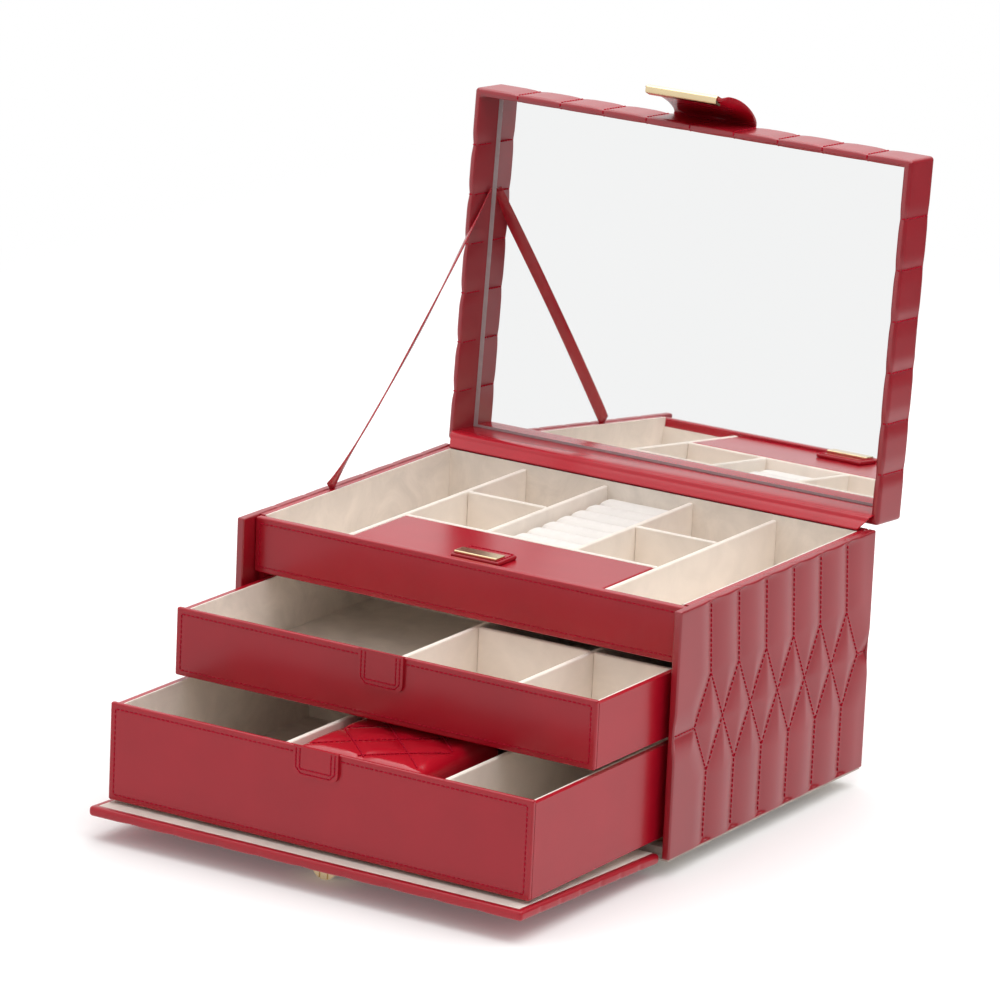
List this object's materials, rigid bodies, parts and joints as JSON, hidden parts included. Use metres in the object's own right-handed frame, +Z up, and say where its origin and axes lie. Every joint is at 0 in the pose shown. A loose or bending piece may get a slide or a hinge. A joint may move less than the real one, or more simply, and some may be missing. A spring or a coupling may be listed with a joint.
{
  "type": "jewellery case",
  "caption": "Quilted leather jewellery case with a mirrored lid on a stay strap, a lined tray with ring rolls, sliding drawers and a fold-down front flap.",
  "frame": {"origin": "on the surface that the case stands on, below the middle of its body", "axes": "+X to the case's right as seen from the front, +Y to the back, +Z up"},
  "size_m": [0.28, 0.3932, 0.3703],
  "materials": {
    "quilted_leather": "semi-gloss fine-grained padded leather",
    "red_leather": "semi-gloss fine-grained leather",
    "travel_leather": "glossy padded leather",
    "zip_tape": "woven zip tape",
    "suede_lining": "matt microsuede with a soft nap",
    "suede_divider": "matt microsuede with a soft nap",
    "ring_roll_suede": "matt microsuede over foam",
    "gold_metal": "polished gold tone",
    "mirror_glass": "silvered glass with a bevelled edge",
    "base_felt": "matt felt",
    "runner_wood": "plain board"
  },
  "bodies": {
    "case": {"base_felt": "base_felt", "base_board": "suede_lining", "base_studs": "gold_metal", "drawer_runners": "runner_wood", "side_wall_boards": "red_leather", "left_quilted_cover": "quilted_leather", "right_quilted_cover": "quilted_leather", "back_wall_board": "red_leather", "back_quilted_cover": "quilted_leather", "carcass_sides": "red_leather", "carcass_back": "red_leather", "drawer_shelf": "red_leather", "tray_floor": "suede_lining", "fascia_panel": "red_leather", "tray_lining_boards": "suede_lining", "tray_long_dividers": "suede_divider", "ring_roll_dividers": "suede_divider", "tray_back_divider": "suede_divider", "tray_cross_dividers": "suede_divider", "ring_roll_foam": "ring_roll_suede", "ring_rolls": "ring_roll_suede", "lid_hinge_strip": "red_leather", "flap_hinge_strip": "suede_lining", "stay_strap": "red_leather"},
    "compartment_lid": {"compartment_lid_panel": "red_leather", "compartment_pull_tab": "red_leather", "compartment_plate": "gold_metal"},
    "lid": {"lid_board": "red_leather", "lid_side_rails": "red_leather", "lid_end_rails": "red_leather", "lid_quilted_cover": "quilted_leather", "mirror_glass": "mirror_glass", "lock_tab_base": "red_leather"},
    "lock_tab": {"lock_tab_leather": "red_leather", "lock_tab_clip": "gold_metal"},
    "front_flap": {"flap_board": "red_leather", "flap_quilted_cover": "quilted_leather", "flap_lining": "suede_lining", "lock_base_plate": "gold_metal"},
    "lock_knob": {"lock_knob": "gold_metal"},
    "upper_drawer": {"upper_drawer_facing": "red_leather", "upper_drawer_sides": "red_leather", "upper_drawer_ends": "red_leather", "upper_drawer_floor": "suede_lining", "upper_drawer_lining": "suede_lining", "upper_drawer_pull_tab": "red_leather", "upper_drawer_dividers": "suede_divider", "upper_drawer_cross_dividers": "suede_divider"},
    "lower_drawer": {"lower_drawer_facing": "red_leather", "lower_drawer_sides": "red_leather", "lower_drawer_ends": "red_leather", "lower_drawer_floor": "suede_lining", "lower_drawer_lining": "suede_lining", "lower_drawer_pull_tab": "red_leather", "lower_drawer_dividers": "suede_divider", "travel_case_base": "travel_leather", "travel_case_zip": "zip_tape", "travel_case_cover": "travel_leather", "travel_zip_pull": "gold_metal"}
  },
  "joints": [
    {"name": "lid_hinge", "type": "hinge", "parent": "case", "child": "lid", "pos_m": [0, 0.1055, 0.1464], "axis": [-1, 0, 0], "range_deg": [-93.87, 0], "deforming": ["lid_hinge_strip", "stay_strap"]},
    {"name": "upper_drawer_slide", "type": "slide", "parent": "case", "child": "upper_drawer", "axis": [0, -1, 0], "range_m": [-0.0786, 0.06]},
    {"name": "lower_drawer_slide", "type": "slide", "parent": "case", "child": "lower_drawer", "axis": [0, -1, 0], "range_m": [-0.1374, 0.012]},
    {"name": "compartment_lid_hinge", "type": "hinge", "parent": "case", "child": "compartment_lid", "pos_m": [0, -0.0302, 0.1432], "axis": [-1, 0, 0], "range_deg": [0, 100]},
    {"name": "lock_tab_hinge", "type": "hinge", "parent": "lid", "child": "lock_tab", "pos_m": [0, 0.14822, 0.34973], "axis": [-1, 0, 0], "range_deg": [-20, 60], "stiffness_Nm_per_rad": 0.3, "springref_deg": 0.67},
    {"name": "front_flap_hinge", "type": "hinge", "parent": "case", "child": "front_flap", "pos_m": [0, -0.1005, 0.0129], "axis": [1, 0, 0], "range_deg": [-0.6, 0], "deforming": ["flap_hinge_strip"]},
    {"name": "lock_knob_turn", "type": "hinge", "parent": "front_flap", "child": "lock_knob", "pos_m": [0, -0.21817, 0.01006], "axis": [0, -0.0354, -0.9994], "range_deg": [0, 90]}
  ]
}
